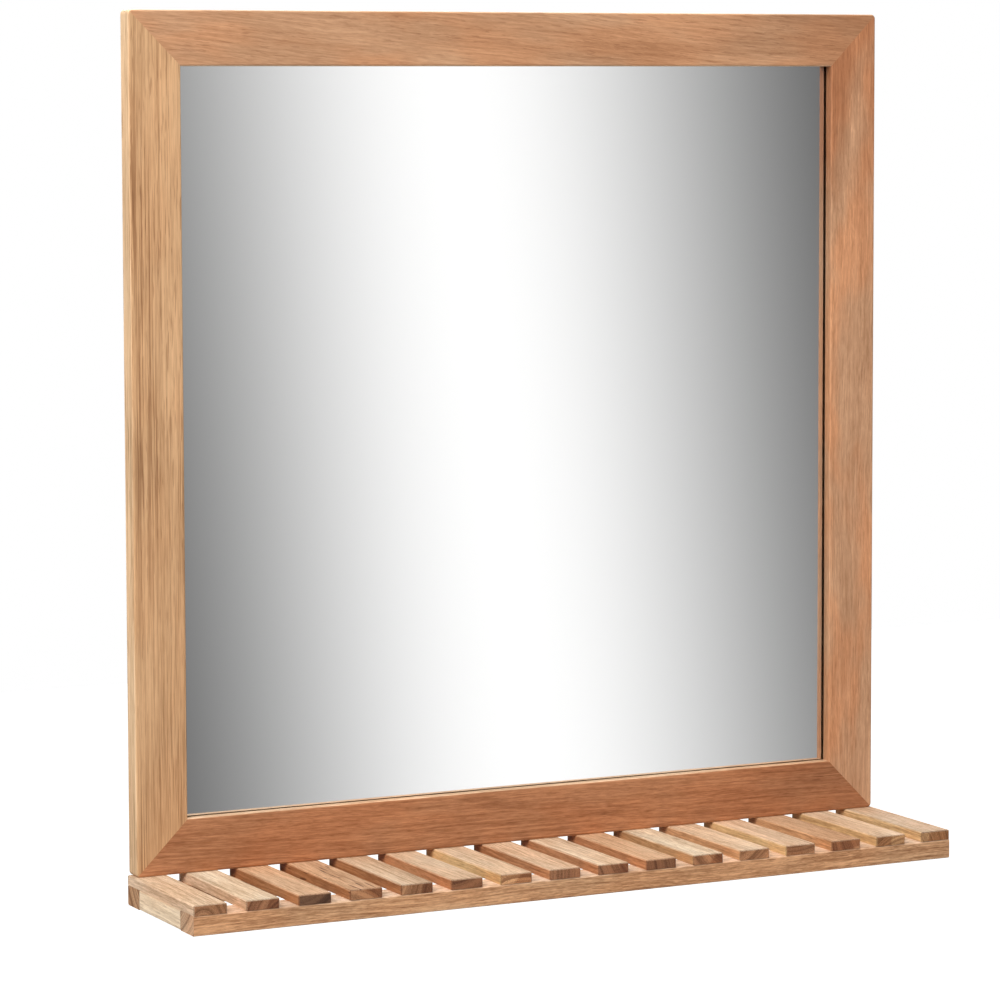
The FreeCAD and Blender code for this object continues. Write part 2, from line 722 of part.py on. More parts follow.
def make_slat(document, number, takes_screw):
    """One slat, from the shelf's front to the wall, over both rails."""
    body = block(document, f"slat_{number + 1:02d}", "sizes.slat_width", "sizes.overall_depth",
                 "sizes.slat_thickness", y="-sizes.overall_depth / 2")
    top = value(body, "sizes.slat_thickness")
    front = -value(body, "sizes.overall_depth")

    def is_seen_edge(edge):
        front_corner = runs_along(edge, Z_AXIS) and lies_at(edge, Y_AXIS, front)
        return front_corner or lies_at(edge, Z_AXIS, top)

    bevel(body, "sizes.slat_bevel", is_seen_edge)
    depth = "sizes.brad_length - sizes.rail_height + sizes.end_gap"
    brad_holes(body, [("0", FRONT_BRAD_Y), ("0", REAR_BRAD_Y)], depth)
    if takes_screw:
        screw = new_sketch(body, "XY_Plane", "screw_hole")
        add_circles(screw, [("0", SHELF_SCREW_Y)], "sizes.shelf_screw_diameter + 2 * sizes.fit_gap")
        pocket(body, screw, along_normal=True)
    place(body, slat_x(number), z=SLAT_BASE)
    return body


def make_brads(document, numbers):
    """Two brads for each slat, up through the rails."""
    upright = FreeCAD.Rotation(X_AXIS, QUARTER_TURN)
    places = [
        (slat_x(number), y, SHELF_BASE, upright)
        for number in numbers
        for y in (FRONT_BRAD_Y, REAR_BRAD_Y)
    ]
    outline = pointed("sizes.brad_width", "sizes.brad_length", "sizes.brad_tip")
    return extruded_group(document, "slat_brads", outline, "sizes.brad_thickness", places, True)


def make_shelf_screws(document, numbers):
    """Long screws up through the rear rail and some of the slats into the frame."""
    upward = FreeCAD.Rotation(X_AXIS, -QUARTER_TURN)
    places = [(slat_x(number), SHELF_SCREW_Y, SHELF_BASE, upward) for number in numbers]
    return screw_group(document, "shelf_screws", "shelf_screw", places)


def make_shelf(document):
    sheet = document.getObject("sizes")
    numbers, screwed = slat_numbers(sheet), screwed_slats(sheet)
    depth = "sizes.front_rail_depth"
    front = long_rail(document, "shelf_front_rail", depth, FRONT_RAIL_Y, FRONT_BRAD_Y, 1)
    rear = make_rear_rail(document)
    left = make_end_rail(document, "shelf_left_end_rail", -1)
    right = make_end_rail(document, "shelf_right_end_rail", 1)
    slats = [make_slat(document, number, number in screwed) for number in numbers]
    brads = make_brads(document, numbers)
    screws = make_shelf_screws(document, screwed)
    return [front, rear, left, right, *slats, brads, screws]


# The whole mirror

def check(document, nodes):
    """Stops with a message if any object failed or any piece is not a sound solid."""
    for item in document.Objects:
        if "Invalid" in item.State or "Error" in item.State:
            raise RuntimeError(f"{item.Name} failed: {item.State}")
    for node in nodes:
        if node.Shape.isNull() or not node.Shape.isValid() or not node.Shape.Solids:
            raise RuntimeError(f"{node.Label} is not a sound solid")


def main():
    document = FreeCAD.newDocument("bathroom_mirror")
    make_sheet(document)
    nodes = make_frame(document)
    nodes += [make_corner_splines(document), make_glass(document)]
    nodes += [make_back_board(document), make_points(document)]
    nodes += make_hangers(document)
    nodes += make_shelf(document)
    document.recompute()
    check(document, nodes)
    os.makedirs("parts", exist_ok=True)
    for node in nodes:
        node.Shape.exportStep(f"parts/{node.Label}.step")
        print(node.Label, len(node.Shape.Solids), "solids", round(node.Shape.Volume), "mm3")


main()
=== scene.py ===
import math
from typing import NamedTuple

import bmesh
import bpy
from mathutils import Matrix, Vector


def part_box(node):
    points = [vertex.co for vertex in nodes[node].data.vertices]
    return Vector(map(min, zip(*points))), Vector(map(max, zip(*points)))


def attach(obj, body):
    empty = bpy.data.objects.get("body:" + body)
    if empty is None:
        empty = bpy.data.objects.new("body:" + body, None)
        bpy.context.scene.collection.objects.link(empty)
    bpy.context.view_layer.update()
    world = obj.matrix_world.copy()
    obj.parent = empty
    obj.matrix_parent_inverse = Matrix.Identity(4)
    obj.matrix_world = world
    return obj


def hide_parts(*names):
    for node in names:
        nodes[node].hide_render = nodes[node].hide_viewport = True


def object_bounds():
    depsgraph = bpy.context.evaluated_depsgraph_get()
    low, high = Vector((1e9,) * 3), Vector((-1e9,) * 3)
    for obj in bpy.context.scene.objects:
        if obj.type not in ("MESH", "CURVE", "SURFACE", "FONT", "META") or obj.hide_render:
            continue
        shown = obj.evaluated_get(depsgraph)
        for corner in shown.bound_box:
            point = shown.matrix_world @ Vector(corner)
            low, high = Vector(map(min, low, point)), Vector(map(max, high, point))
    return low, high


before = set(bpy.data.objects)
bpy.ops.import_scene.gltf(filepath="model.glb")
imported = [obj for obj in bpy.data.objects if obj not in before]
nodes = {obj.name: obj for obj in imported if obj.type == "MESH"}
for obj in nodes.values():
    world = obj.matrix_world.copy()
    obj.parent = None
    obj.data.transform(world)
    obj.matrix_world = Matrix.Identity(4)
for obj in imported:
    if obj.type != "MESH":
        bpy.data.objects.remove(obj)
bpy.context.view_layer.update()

MM = 0.001
WHITE = (1.0, 1.0, 1.0, 1.0)


# Shared helpers

def tone(red, green, blue):
    """A display colour of 0 to 255 per channel as the linear colour that a socket takes."""
    def linear(level):
        level /= 255
        return level / 12.92 if level <= 0.04045 else ((level + 0.055) / 1.055) ** 2.4
    return (linear(red), linear(green), linear(blue), 1.0)


class Graph:
    """A node tree, with short ways to add nodes and join them."""

    def __init__(self, tree):
        self.tree = tree

    def add(self, kind, inputs=(), **settings):
        """A new node. Each of its inputs takes a value, or a link from a socket."""
        node = self.tree.nodes.new(kind)
        for name, setting in settings.items():
            setattr(node, name, setting)
        for key, source in dict(inputs).items():
            if isinstance(source, bpy.types.NodeSocket):
                self.tree.links.new(source, node.inputs[key])
            else:
                node.inputs[key].default_value = source
        return node

    def math(self, operation, *values):
        return self.add("ShaderNodeMath", enumerate(values), operation=operation).outputs[0]

    def total(self, *values):
        first, *rest = values
        for value in rest:
            first = self.math("ADD", first, value)
        return first

    def product(self, *values):
        first, *rest = values
        for value in rest:
            first = self.math("MULTIPLY", first, value)
        return first

    def weighted(self, *terms):
        """The sum of some terms, each a value with its weights."""
        return self.total(*(self.product(*term) for term in terms))

    def centred(self, value):
        """A value of 0 to 1, moved down to lie about 0."""
        return self.math("SUBTRACT", value, 0.5)

    def vector(self, operation, *values):
        node = self.add("ShaderNodeVectorMath", enumerate(values), operation=operation)
        return node.outputs["Value" if operation == "LENGTH" else "Vector"]

    def combine(self, x=0.0, y=0.0, z=0.0):
        return self.add("ShaderNodeCombineXYZ", {"X": x, "Y": y, "Z": z}).outputs[0]

    def separate(self, vector):
        return self.add("ShaderNodeSeparateXYZ", {"Vector": vector}).outputs

    def noise(self, vector, cells, detail, roughness, output="Fac"):
        """Noise with a number of cells per metre along each axis."""
        inputs = {
            "Vector": self.vector("MULTIPLY", vector, cells),
            "Scale": 1.0,
            "Detail": detail,
            "Roughness": roughness,
        }
        return self.add("ShaderNodeTexNoise", inputs).outputs[output]

    def remap(self, value, low, high, new_low=0.0, new_high=1.0):
        """A smooth step from new_low to new_high while a value goes from low to high."""
        inputs = {
            "Value": value,
            "From Min": low,
            "From Max": high,
            "To Min": new_low,
            "To Max": new_high,
        }
        node = self.add("ShaderNodeMapRange", inputs, interpolation_type="SMOOTHSTEP")
        return node.outputs["Result"]

    def mix(self, factor, first, second, blend_type="MIX"):
        """A blend of two colours. The node's colour sockets are inputs 6 and 7 and output 2."""
        inputs = {0: factor, 6: first, 7: second}
        node = self.add("ShaderNodeMix", inputs, data_type="RGBA", blend_type=blend_type)
        return node.outputs[2]

    def tint(self, factor, color, shade):
        """A colour multiplied by a shade as far as a factor says."""
        return self.mix(factor, color, shade, "MULTIPLY")

    def bump(self, strength, distance, height):
        inputs = {"Strength": strength, "Distance": distance, "Height": height}
        return self.add("ShaderNodeBump", inputs).outputs[0]


def principled(name, **inputs):
    """A material with a plain shader, some of whose inputs are given by name."""
    material = bpy.data.materials.new(name)
    material.use_nodes = True
    shader = material.node_tree.nodes["Principled BSDF"]
    for key, setting in inputs.items():
        shader.inputs[key.replace("_", " ")].default_value = setting
    return material


def link_to_shader(material, **sources):
    tree = material.node_tree
    shader = tree.nodes["Principled BSDF"]
    for key, source in sources.items():
        tree.links.new(source, shader.inputs[key.replace("_", " ")])


def dress(node, *materials):
    mesh = nodes[node].data
    mesh.materials.clear()
    for material in materials:
        mesh.materials.append(material)


# Wood

# The tones are the wood's mean colours on the faces that look along each axis, partly the wood's
# own colour and partly painted light and shade. Pith and Heart Edge are measured from the middle
# of the section, End Gap to the nearer end and Far Gap to the grain's far end, all in metres.
# Heart Angle, in radians, is the way to the heartwood. Wander says how far the grain strays, Pace
# how short its streaks are, and the other numbers how strong a thing is.
WOOD_INPUTS = {
    "Position": ("NodeSocketVector", None),
    "Normal": ("NodeSocketVector", None),
    "X Tone": ("NodeSocketColor", tone(140, 100, 70)),
    "Y Tone": ("NodeSocketColor", tone(200, 160, 120)),
    "Z Tone": ("NodeSocketColor", tone(200, 160, 120)),
    "Heart Angle": ("NodeSocketFloat", 0.0),
    "Heart Edge": ("NodeSocketFloat", 1.0),
    "Pith": ("NodeSocketVector", (0.0, 0.03, 0.02)),
    "Bands": ("NodeSocketFloat", 1.0),
    "Fibres": ("NodeSocketFloat", 1.0),
    "Lines": ("NodeSocketFloat", 0.4),
    "Dashes": ("NodeSocketFloat", 0.5),
    "Flecks": ("NodeSocketFloat", 0.0),
    "Knots": ("NodeSocketFloat", 0.0),
    "Rim": ("NodeSocketFloat", 0.0),
    "End Gap": ("NodeSocketFloat", 1.0),
    "Far Gap": ("NodeSocketFloat", 1.0),
    "Far Shade": ("NodeSocketFloat", 0.0),
    "Blush": ("NodeSocketFloat", 0.4),
    "Wander": ("NodeSocketFloat", 1.0),
    "Pace": ("NodeSocketFloat", 1.0),
}


class Layer(NamedTuple):
    """A noise layer of the grain, with its cells per metre along the grain and across it. Where
    it shows marks, they come in while the noise goes from the low level to the high one."""
    along: float
    across: float
    detail: float
    roughness: float
    low: float = 0.0
    high: float = 1.0


WANDER = Layer(5.0, 22.0, 1.0, 0.4)
CLOUD = Layer(7.0, 40.0, 2.0, 0.5)
DRIFT = Layer(11.0, 34.0, 2.0, 0.55, 0.38, 0.62)
FIBRE = Layer(14.0, 620.0, 4.0, 0.72)
GRIT = Layer(90.0, 900.0, 2.0, 0.7)
SPECKLE = Layer(200.0, 1500.0, 3.0, 0.75)
LINE = Layer(12.0, 760.0, 2.0, 0.6, 0.555, 0.600)
DASH = Layer(75.0, 760.0, 2.0, 0.6, 0.57, 0.66)
FLECK = Layer(62.0, 600.0, 3.0, 0.6, 0.54, 0.66)
PORE = Layer(150.0, 2400.0, 2.0, 0.6, 0.55, 0.63)
KNOT = Layer(38.0, 330.0, 1.0, 0.5, 0.655, 0.69)

# Rings are noise with cells per metre away from the pith and along the grain.
WIDE_RING_CELLS = (150.0, 1.5, 0.0)
NARROW_RING_CELLS = (620.0, 3.0, 0.0)

# Each pair is the range of a value over which a thing comes in or fades: end grain and the Z
# tone by the way that a face looks, lines and flecks by the clouds, dashes by the rings, pale
# grain and pale arcs by their swing, and the far shade, the heartwood and the rim by a distance.
END_FACING = (0.72, 0.92)
OVER_FACING = (-0.25, 0.25)
LINE_CLOUDS = (0.36, 0.60)
DASH_RINGS = (0.62, 0.40)
FLECK_CLOUDS = (0.42, 0.62)
GRAIN_SWING = (-0.28, 0.28)
ARC_SWING = (0.44, 0.66)
FAR_GAPS = (0.17, 0.02)
HEART_BLUR = (-1.0 * MM, 1.0 * MM)
RIM_GAPS = (1.3 * MM, 0.3 * MM)

# What is left of lines in pale clouds, of dashes in pale rings and of heartwood on long faces.
LINE_REST = 0.5
DASH_REST = 0.45
HEART_REST = 0.22

# How much each layer counts in the rings, the tone, the end grain, the roughness and the relief.
WIDE_IN_RINGS = 0.55
NARROW_IN_RINGS = 0.45
RINGS_IN_TONE = 0.6
FIBRE_IN_TONE = 1.1
GRIT_IN_TONE = 0.7
CLOUD_IN_TONE = 0.35
RINGS_IN_ENDS = 0.75
SPECKLE_IN_ENDS = 0.35
CLOUD_IN_FAR_GAP = 0.25
LINE_IN_ROUGHNESS = 0.12
DASH_IN_ROUGHNESS = 0.15
END_IN_ROUGHNESS = 0.14
FIBRE_IN_RELIEF = 0.6
RINGS_IN_RELIEF = 0.3
SPECKLE_IN_RELIEF = 0.5
LINE_IN_RELIEF = 0.5
DASH_IN_RELIEF = 0.6
PORE_IN_RELIEF = 0.3

# What the wood's own tone is multiplied by, in pairs from dark to pale or from red to pale, and
# how far a mark's shade is taken.
GRAIN_SHADES = ((0.69, 0.61, 0.53, 1.0), (1.31, 1.37, 1.44, 1.0))
ARC_SHADES = ((0.50, 0.42, 0.36, 1.0), (1.45, 1.50, 1.55, 1.0))
DRIFT_SHADES = ((1.06, 0.96, 0.88, 1.0), (0.96, 1.03, 1.09, 1.0))
HEART_SHADE = (0.68, 0.56, 0.48, 1.0)
FAR_SHADE = (0.72, 0.62, 0.55, 1.0)
LINE_SHADE = (0.52, 0.42, 0.33, 1.0)
DASH_SHADE = (0.50, 0.40, 0.32, 1.0)
PORE_SHADE = (0.64, 0.55, 0.46, 1.0)
FLECK_SHADE = (1.30, 1.36, 1.42, 1.0)
KNOT_SHADE = (0.26, 0.17, 0.12, 1.0)
RIM_SHADE = (0.42, 0.34, 0.28, 1.0)
LINE_TINT = 0.85
DASH_TINT = 0.85
PORE_TINT = 0.45

# The width that the grain wanders over, and the roughness of dark grain and of pale grain.
WANDER_REACH = 11 * MM
WOOD_ROUGHNESS = (0.60, 0.50)


def layer_noise(g, position, layer, output="Fac"):
    cells = (layer.along, layer.across, layer.across)
    return g.noise(position, cells, layer.detail, layer.roughness, output)


def layer_marks(g, position, layer):
    return g.remap(layer_noise(g, position, layer), layer.low, layer.high)


def warp(g, given):
    """The place in the wood, which wanders to each side along the grain, and the same place
    with the pace of the streaks."""
    position = given["Position"]
    wander = g.vector("SUBTRACT", layer_noise(g, position, WANDER, "Color"), (0.5, 0.5, 0.5))
    reach = g.product(given["Wander"], WANDER_REACH)
    wander = g.vector("MULTIPLY", wander, g.combine(0.0, reach, reach))
    warped = g.vector("ADD", position, wander)
    paced = g.vector("MULTIPLY", warped, g.combine(given["Pace"], 1.0, 1.0))
    return warped, paced


def make_rings(g, given, warped):
    """Rings of uneven width about the pith: the wide ones alone, and all together."""
    from_pith = g.vector("SUBTRACT", warped, given["Pith"])
    radius = g.vector("LENGTH", g.vector("MULTIPLY", from_pith, (0.0, 1.0, 1.0)))
    section = g.combine(radius, g.separate(given["Position"])["X"])
    wide = g.noise(section, WIDE_RING_CELLS, detail=2.0, roughness=0.55)
    narrow = g.noise(section, NARROW_RING_CELLS, detail=3.0, roughness=0.65)
    return wide, g.weighted((wide, WIDE_IN_RINGS), (narrow, NARROW_IN_RINGS))


def find_facing(g, given):
    """How far a face shows end grain, and how far it takes the Z tone and not the Y tone."""
    facing = g.separate(g.vector("ABSOLUTE", given["Normal"]))
    end = g.remap(facing["X"], *END_FACING)
    over = g.remap(g.math("SUBTRACT", facing["Z"], facing["Y"]), *OVER_FACING)
    return end, over


def make_marks(g, given, paced, side, cloud, wide):
    """Long dark lines, short dashes, pale flecks, pores and small knots."""
    thinned = g.remap(cloud, *LINE_CLOUDS, 1.0, LINE_REST)
    line = g.product(layer_marks(g, paced, LINE), thinned, given["Lines"])
    thinned = g.remap(wide, *DASH_RINGS, DASH_REST, 1.0)
    dash = g.product(layer_marks(g, paced, DASH), thinned, given["Dashes"])
    thinned = g.remap(cloud, *FLECK_CLOUDS)
    fleck = g.product(layer_marks(g, paced, FLECK), thinned, given["Flecks"])
    pore = g.product(layer_marks(g, paced, PORE), side, given["Fibres"])
    knot = g.product(layer_marks(g, given["Position"], KNOT), side, given["Knots"])
    return line, dash, fleck, pore, knot


def make_heartwood(g, given, warped, end):
    """Heartwood lies beyond a slanted, uneven edge through the section."""
    across = g.separate(warped)
    angle = given["Heart Angle"]
    turned = g.weighted(
        (across["Y"], g.math("COSINE", angle)),
        (across["Z"], g.math("SINE", angle)),
    )
    heart = g.remap(g.math("SUBTRACT", turned, given["Heart Edge"]), *HEART_BLUR)
    return g.product(heart, g.remap(end, 0.0, 1.0, HEART_REST, 1.0))


def make_wood_group():
    """Oiled solid wood whose grain runs along X, in metres. Each tone is the wood's mean colour
    on the faces that look along that axis, and holds painted light and shade as well as the
    wood's own colour. Rings lie about a pith line, so the long faces show streaks and the ends
    show arcs."""
    tree = bpy.data.node_groups.new("solid_wood", "ShaderNodeTree")
    for name, (kind, default) in WOOD_INPUTS.items():
        socket = tree.interface.new_socket(name=name, in_out="INPUT", socket_type=kind)
        if default is not None:
            socket.default_value = default
    for name, kind in (("Color", "Color"), ("Roughness", "Float"), ("Height", "Float")):
        tree.interface.new_socket(name=name, in_out="OUTPUT", socket_type=f"NodeSocket{kind}")
    g = Graph(tree)
    given = g.add("NodeGroupInput").outputs
    position = given["Position"]
    warped, paced = warp(g, given)
    wide, rings = make_rings(g, given, warped)
    end, over = find_facing(g, given)
    side = g.math("SUBTRACT", 1.0, end)
    fibre = layer_noise(g, paced, FIBRE)
    grit = layer_noise(g, paced, GRIT)
    cloud = layer_noise(g, position, CLOUD)
    speckle = layer_noise(g, position, SPECKLE)
    line, dash, fleck, pore, knot = make_marks(g, given, paced, side, cloud, wide)

    # Long grain varies with the rings, fibres and clouds. End grain shows the rings and pores.
    swing = g.weighted(
        (g.centred(rings), given["Bands"], RINGS_IN_TONE),
        (g.centred(fibre), given["Fibres"], FIBRE_IN_TONE),
        (g.centred(grit), given["Fibres"], GRIT_IN_TONE),
        (g.centred(cloud), CLOUD_IN_TONE),
    )
    shade = g.remap(swing, *GRAIN_SWING)
    arcs = g.weighted((rings, RINGS_IN_ENDS), (speckle, SPECKLE_IN_ENDS))
    long_grain = g.mix(shade, *GRAIN_SHADES)
    end_grain = g.mix(g.remap(arcs, *ARC_SWING), *ARC_SHADES)
    # Each face takes the tone of the way it looks: painted light and shade as well as the wood's
    # own colour.
    long_tone = g.mix(over, given["Y Tone"], given["Z Tone"])
    color = g.mix(end, long_tone, given["X Tone"])
    color = g.tint(1.0, color, g.mix(end, long_grain, end_grain))

    # Redder and paler patches, a darker stretch towards the grain's far end, and heartwood.
    drift = g.mix(layer_marks(g, position, DRIFT), *DRIFT_SHADES)
    color = g.tint(given["Blush"], color, drift)
    gap = g.weighted((given["Far Gap"],), (g.centred(cloud), CLOUD_IN_FAR_GAP))
    far = g.product(g.remap(gap, *FAR_GAPS), given["Far Shade"])
    color = g.tint(far, color, FAR_SHADE)
    color = g.tint(make_heartwood(g, given, warped, end), color, HEART_SHADE)

    # The marks, and a scorched rim close to the ends.
    rim = g.product(g.remap(given["End Gap"], *RIM_GAPS), side, given["Rim"])
    color = g.tint(g.product(line, LINE_TINT), color, LINE_SHADE)
    color = g.tint(g.product(dash, DASH_TINT), color, DASH_SHADE)
    color = g.tint(g.product(pore, PORE_TINT), color, PORE_SHADE)
    color = g.tint(fleck, color, FLECK_SHADE)
    color = g.tint(knot, color, KNOT_SHADE)
    color = g.tint(rim, color, RIM_SHADE)

    rough = g.total(g.remap(shade, 0.0, 1.0, *WOOD_ROUGHNESS), g.weighted(
        (line, LINE_IN_ROUGHNESS), (dash, DASH_IN_ROUGHNESS), (end, END_IN_ROUGHNESS)))
    raised = g.weighted(
        (fibre, FIBRE_IN_RELIEF), (rings, RINGS_IN_RELIEF), (speckle, end, SPECKLE_IN_RELIEF))
    sunk = g.weighted((line, LINE_IN_RELIEF), (dash, DASH_IN_RELIEF), (pore, PORE_IN_RELIEF))
    height = g.math("SUBTRACT", raised, sunk)
    g.add("NodeGroupOutput", {"Color": color, "Roughness": rough, "Height": height})
    return tree


SOLID_WOOD = make_wood_group()

# The turn that brings a piece's grain onto X, the world axes that then lie along X, Y and Z,
# and the turn's part that slopes the grain on the piece's broad face.
GRAIN = {
    "X": ((0.0, 0.0, 0.0), "XYZ", 1),
    "Y": ((0.0, 0.0, -math.pi / 2), "YXZ", 2),
    "Z": ((0.0, math.pi / 2, 0.0), "ZYX", 1),
}
# The metres of tree between one seed and the next.
SEED_STEP = 1.37


def wood(node, grain, seed, tones, slope=0.0, **looks):
    """Oiled wood for one piece, whose grain runs along a world axis, sloped by some degrees.
    tones are those of the faces that look along the world's X, Y and Z, and the seed picks the
    stretch of the tree that the piece is cut from."""
    turn, axes, sloped = GRAIN[grain]
    tilt = list(turn)
    tilt[sloped] += math.radians(slope)
    low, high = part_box(node)
    half_length = getattr(high - low, grain.lower()) / 2
    material = bpy.data.materials.new(node)
    material.use_nodes = True
    material.node_tree.nodes.clear()
    g = Graph(material.node_tree)
    coordinates = g.add("ShaderNodeTexCoord").outputs
    place = g.vector("SUBTRACT", coordinates["Object"], tuple((low + high) / 2))
    along = g.separate(place)[grain]
    local = g.add("ShaderNodeMapping", {"Vector": place, "Rotation": tilt})
    normal = g.add("ShaderNodeMapping", {"Vector": coordinates["Normal"], "Rotation": turn})
    inputs = {
        "Position": g.vector("ADD", local.outputs[0], (seed * SEED_STEP, 0.0, 0.0)),
        "Normal": normal.outputs[0],
        "End Gap": g.math("SUBTRACT", half_length, g.math("ABSOLUTE", along)),
        "Far Gap": g.math("SUBTRACT", half_length, along),
    }
    tone_along = dict(zip("XYZ", tones))
    inputs |= {f"{own} Tone": tone_along[axis] for own, axis in zip("XYZ", axes)}
    inputs |= {key.replace("_", " ").title(): setting for key, setting in looks.items()}
    made = g.add("ShaderNodeGroup", inputs, node_tree=SOLID_WOOD).outputs
    shader = g.add("ShaderNodeBsdfPrincipled", {
        "Base Color": made["Color"],
        "Roughness": made["Roughness"],
        "Specular IOR Level": 0.35,
        "Normal": g.bump(strength=0.4, distance=0.25 * MM, height=made["Height"]),
    })
    g.add("ShaderNodeOutputMaterial", {"Surface": shader.outputs[0]})
    return material


BEECH = tone(214, 178, 132)

# Each piece's tones are for the faces that look along the world's X, Y and Z. They are partly the
# wood's own colour and partly painted light and shade, lighter or darker by how the light falls
# on faces that look that way.
WOODS = {
    "left_stile": dict(
        grain="Z", seed=1, tones=(tone(228, 191, 150), tone(203, 159, 116), tone(150, 110, 75)),
        pith=(0, 0.004, 0.07), bands=0.15, fibres=0.5, lines=0.9, dashes=0.7, blush=0.2,
        wander=0.2, pace=0.45),
    "right_stile": dict(
        grain="Z", seed=32, tones=(tone(178, 132, 97), tone(202, 149, 110), tone(140, 100, 70)),
        pith=(0, 0.03, 0.05), bands=0.3, fibres=0.5, lines=0.2, dashes=0.3, flecks=0.6,
        blush=1.0, wander=1.3, far_shade=1.0),
    # The top rail's pale Z tone is partly painted light on the underside of its lip.
    "top_rail": dict(
        grain="X", seed=3, tones=(tone(150, 105, 75), tone(194, 145, 107), tone(238, 204, 168)),
        slope=-5.0, pith=(0, 0.05, 0.03), bands=0.45, fibres=0.4, lines=0.15, dashes=0.45,
        blush=0.6, far_shade=0.5),
    "bottom_rail": dict(
        grain="X", seed=4, tones=(tone(140, 95, 65), tone(178, 120, 81), tone(222, 182, 144)),
        slope=-1.0, pith=(0, 0.02, 0.05), bands=0.4, fibres=0.8, lines=0.25, dashes=0.45,
        blush=0.45, wander=0.8, far_shade=0.5),
    "corner_splines": dict(grain="X", seed=9, tones=(BEECH, BEECH, BEECH)),
    "shelf_front_rail": dict(
        grain="X", seed=5, tones=(tone(186, 148, 116), tone(202, 153, 111), tone(228, 194, 164)),
        pith=(0, 0.03, 0.03), bands=0.5, fibres=1.1, lines=0.5, dashes=0.7, blush=0.5,
        pace=1.3),
    "shelf_rear_rail": dict(
        grain="X", seed=6, tones=(tone(184, 142, 105), tone(180, 132, 96), tone(200, 156, 118)),
        pith=(0, -0.03, 0.03), lines=0.5),
    "shelf_left_end_rail": dict(
        grain="Y", seed=7, tones=(tone(244, 218, 185), tone(170, 130, 96), tone(228, 196, 160)),
        pith=(0, 0.04, 0.03), bands=0.4, fibres=0.5, lines=0.25),
    "shelf_right_end_rail": dict(
        grain="Y", seed=8, tones=(tone(214, 176, 136), tone(170, 130, 96), tone(216, 178, 140)),
        pith=(0, 0.04, 0.03), bands=0.8, fibres=0.9, lines=0.3, dashes=0.4),
}
for node, looks in WOODS.items():
    dress(node, wood(node, **looks))

IVORY = tone(220, 198, 169)
CREAM = tone(219, 190, 159)
BLUSH = tone(217, 183, 151)
FAWN = tone(203, 174, 144)
TAN = tone(202, 163, 128)
STRAW = tone(216, 176, 126)
WHEAT = tone(206, 168, 118)
HONEY = tone(202, 152, 108)
RUSSET = tone(178, 122, 82)
CHESTNUT = tone(162, 108, 68)
SAND = tone(184, 138, 94)
OAK = tone(170, 118, 80)
BARK = tone(160, 112, 76)
WALNUT = tone(146, 98, 66)
COCOA = tone(128, 84, 55)
UMBER = tone(100, 68, 46)


class Slat(NamedTuple):
    """A slat's looks: its tones; the way to its heartwood from the middle of the section, in
    degrees from the left side towards the top; how far off the heartwood starts, and where the
    pith lies, in millimetres; and how strong its small knots are."""
    top: tuple
    side: tuple
    end: tuple
    heart_angle: float
    heart_edge: float
    pith: tuple
    knots: float


# A heartwood's edge far outside the section.
NO_HEART = 60
# The paler tops and darker sides are partly the wood's own colour, and partly painted light on
# the tops and painted shade on the sides in the gaps between slats.
SLATS_FROM_LEFT = (
    Slat(CREAM, BLUSH, BARK, 0, NO_HEART, (6, -9), 0.0),
    Slat(IVORY, BLUSH, WALNUT, 200, 4, (-20, -16), 0.0),
    Slat(TAN, CHESTNUT, UMBER, 90, NO_HEART, (12, 30), 0.2),
    Slat(TAN, CHESTNUT, BARK, 130, 2, (20, -30), 0.9),
    Slat(FAWN, CHESTNUT, BARK, 190, 6, (30, 12), 0.0),
    Slat(FAWN, RUSSET, COCOA, 0, NO_HEART, (10, 40), 0.0),
    Slat(CREAM, WHEAT, HONEY, 215, 1, (-8, -40), 0.0),
    Slat(BLUSH, RUSSET, WALNUT, 0, NO_HEART, (40, 4), 0.2),
    Slat(CREAM, RUSSET, WALNUT, 170, 5, (-30, 10), 0.1),
    Slat(TAN, RUSSET, COCOA, 0, NO_HEART, (34, -6), 0.3),
    Slat(IVORY, SAND, OAK, 225, 3, (-26, 20), 0.5),
    Slat(CREAM, HONEY, OAK, 0, NO_HEART, (26, 26), 0.0),
    Slat(BLUSH, WHEAT, OAK, 0, NO_HEART, (3, 50), 0.0),
    Slat(TAN, HONEY, OAK, 80, -2, (-40, 20), 0.0),
    Slat(CREAM, WHEAT, SAND, 15, 1, (-10, -30), 0.0),
    Slat(FAWN, STRAW, SAND, 195, -6, (30, -14), 0.0),
)
FIRST_SLAT_SEED = 11
for index, slat in enumerate(SLATS_FROM_LEFT):
    node = f"slat_{index + 1:02d}"
    dress(node, wood(
        node, grain="Y", seed=FIRST_SLAT_SEED + index, tones=(slat.side, slat.end, slat.top),
        heart_angle=math.radians(slat.heart_angle), heart_edge=slat.heart_edge * MM,
        pith=(0.0, slat.pith[0] * MM, slat.pith[1] * MM), bands=0.5, fibres=0.9, lines=0.5,
        dashes=0.2, rim=0.8, knots=slat.knots))


# Glass, board and metal

def dress_mirror():
    """Clear glass with a silvered rear face."""
    glass = principled(
        "clear_glass", Base_Color=(0.995, 0.996, 0.995, 1.0), Roughness=0.0, IOR=1.52,
        Transmission_Weight=1.0)
    silver = principled(
        "silver", Base_Color=(0.963, 0.963, 0.960, 1.0), Metallic=1.0, Roughness=0.0)
    dress("mirror_glass", glass, silver)
    for face in nodes["mirror_glass"].data.polygons:
        looks_to_the_wall = face.normal.y > 0.5
        face.material_index = 1 if looks_to_the_wall else 0


